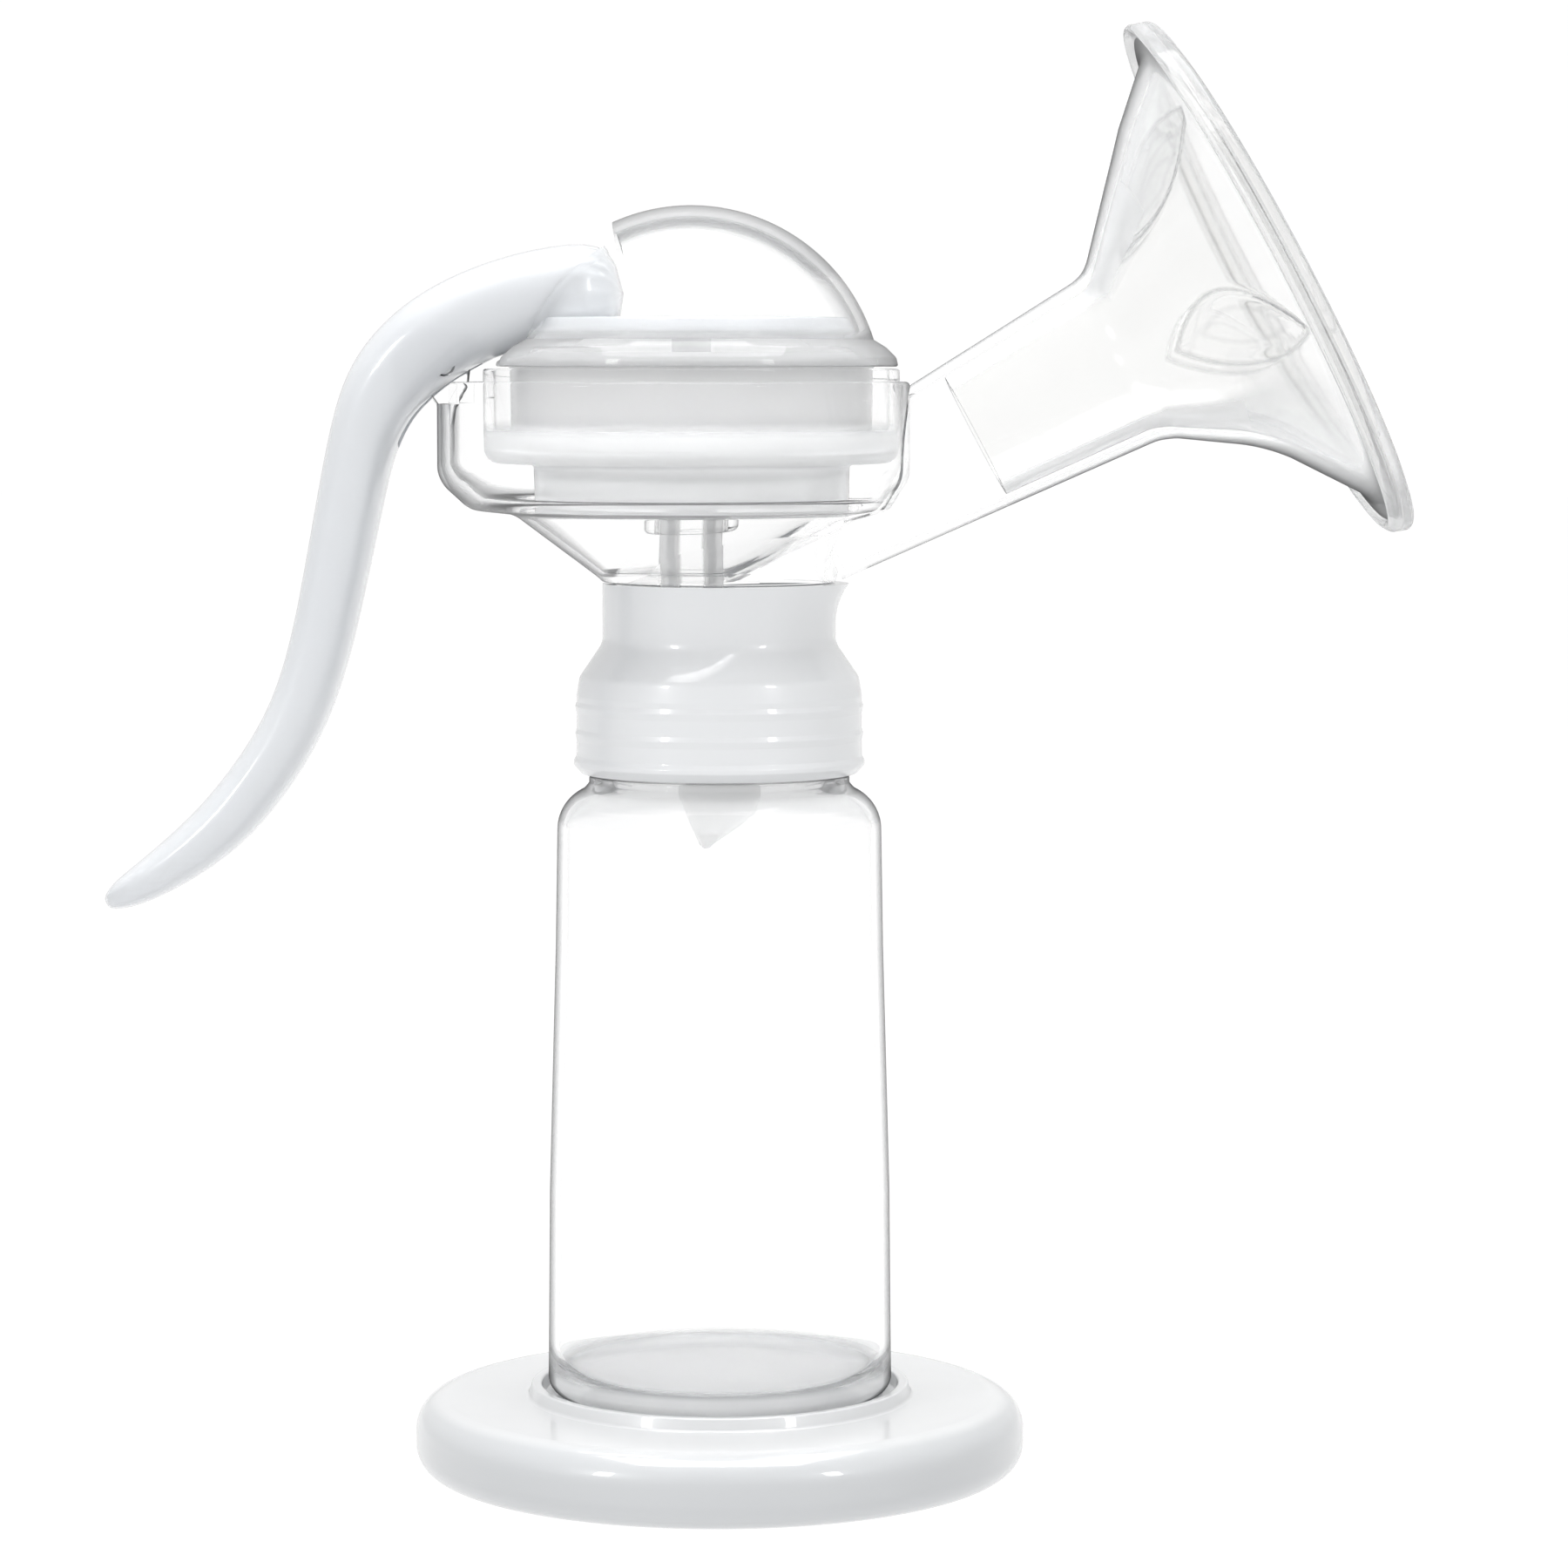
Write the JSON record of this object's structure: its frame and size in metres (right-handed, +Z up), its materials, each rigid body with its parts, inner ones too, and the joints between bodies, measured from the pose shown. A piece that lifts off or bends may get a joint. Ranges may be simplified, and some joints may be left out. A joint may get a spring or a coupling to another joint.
{
  "type": "manual breast pump",
  "caption": "Hand-operated breast pump: clear bottle on a round stand, hood with diaphragm under a dome, curved squeeze lever and an angled funnel with a silicone cushion.",
  "frame": {"origin": "middle of the stand's flat underside, on the bottle's axis", "axes": "+Z up along the bottle, +X towards the funnel, -X towards the lever, +Y across the pump"},
  "size_m": [0.1918, 0.09, 0.2131],
  "materials": {
    "milky_plastic": "glossy translucent polypropylene",
    "clear_plastic": "clear glossy polypropylene",
    "silicone": "frosted clear silicone"
  },
  "bodies": {
    "stand": {"base_stand": "milky_plastic"},
    "pump": {"bottle": "clear_plastic", "bottle_connector": "milky_plastic", "bottle_seal_ring": "silicone", "valve_seat": "milky_plastic", "duckbill_valve": "silicone", "pump_body": "clear_plastic", "suction_chamber": "clear_plastic", "stem_seal": "silicone", "diaphragm": "silicone", "massage_cushion": "silicone"},
    "handle": {"lever": "milky_plastic", "pivot_pin": "milky_plastic", "dome_cover": "clear_plastic"},
    "rod": {"diaphragm_disc": "milky_plastic", "diaphragm_stem": "milky_plastic", "stem_cap": "milky_plastic"}
  },
  "joints": [
    {"name": "stand_lift", "type": "slide", "parent": "stand", "child": "pump", "axis": [0, 0, 1], "range_m": [0, 0.02]},
    {"name": "lever_squeeze", "type": "hinge", "parent": "pump", "child": "handle", "pos_m": [-0.0397, 0, 0.1636], "axis": [0, -1, 0], "range_deg": [0, 12], "stiffness_Nm_per_rad": 4},
    {"name": "stem_pull", "type": "slide", "parent": "pump", "child": "rod", "axis": [0, 0, 1], "range_m": [0, 0.008], "deforming": ["diaphragm"]}
  ],
  "couplings": [
    {"joint": "stem_pull", "follows": "lever_squeeze", "m_per_rad": 0.0354}
  ]
}
